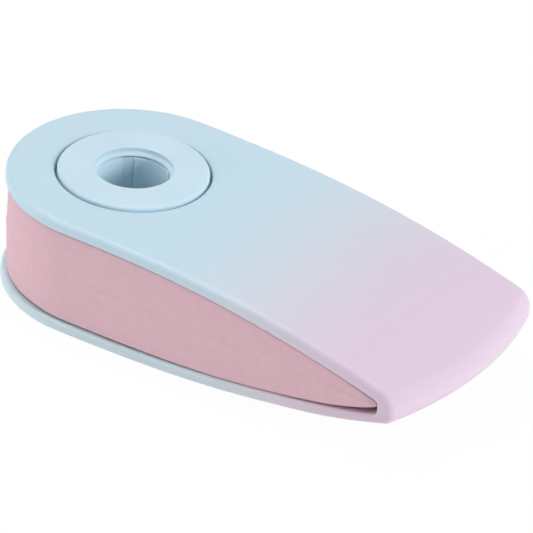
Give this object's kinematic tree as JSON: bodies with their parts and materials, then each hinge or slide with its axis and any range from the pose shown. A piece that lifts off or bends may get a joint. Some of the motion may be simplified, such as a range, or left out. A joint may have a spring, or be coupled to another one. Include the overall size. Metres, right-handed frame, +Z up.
{
  "type": "swivel eraser with sleeve",
  "caption": "Pocket eraser that swivels on a snap-together hub out of a domed U-shaped plastic sleeve, with a bore through the hub.",
  "frame": {"origin": "middle of the bounding box's bottom, on the face the sleeve rests on", "axes": "+X from the hub end to the nose, +Z up along the hub's axis, +Y to the left of +X"},
  "size_m": [0.0534, 0.025, 0.0129],
  "materials": {
    "sleeve_plastic": "satin soft-touch paint, pale blue fading to lilac at the nose",
    "hub_plastic": "satin moulded plastic, pale blue",
    "eraser_vinyl": "matt dusty pink vinyl"
  },
  "bodies": {
    "sleeve": {"sleeve": "sleeve_plastic"},
    "swivel": {"eraser": "eraser_vinyl", "hub_cap": "hub_plastic", "hub_base": "hub_plastic"}
  },
  "joints": [
    {"name": "eraser_swivel", "type": "hinge", "parent": "sleeve", "child": "swivel", "pos_m": [-0.0142, 0, 0.00625], "axis": [0, 0, 1], "continuous": true}
  ]
}
